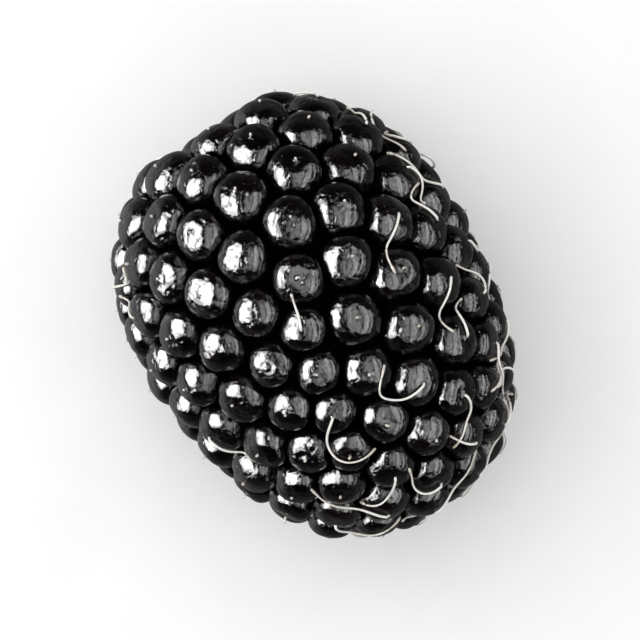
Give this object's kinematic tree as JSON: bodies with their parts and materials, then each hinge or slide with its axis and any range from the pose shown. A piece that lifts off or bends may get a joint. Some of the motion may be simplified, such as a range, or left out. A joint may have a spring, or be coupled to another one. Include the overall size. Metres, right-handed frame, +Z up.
{
  "type": "bramble berry",
  "caption": "Picked bramble berry lying on its side: a barrel-shaped head of round black drupelets with a pale plug sunk in its stem end.",
  "frame": {"origin": "on the surface the berry rests on, under the centre of its bounding box", "axes": "+X along the berry from its stem end to its tip, +Z up, -Z onto the surface it rests on"},
  "size_m": [0.0282, 0.0224, 0.0223],
  "materials": {
    "drupelet_skin": "gloss",
    "pith": "matte"
  },
  "bodies": {
    "root": {"drupelets": "drupelet_skin", "receptacle": "pith"}
  },
  "joints": []
}
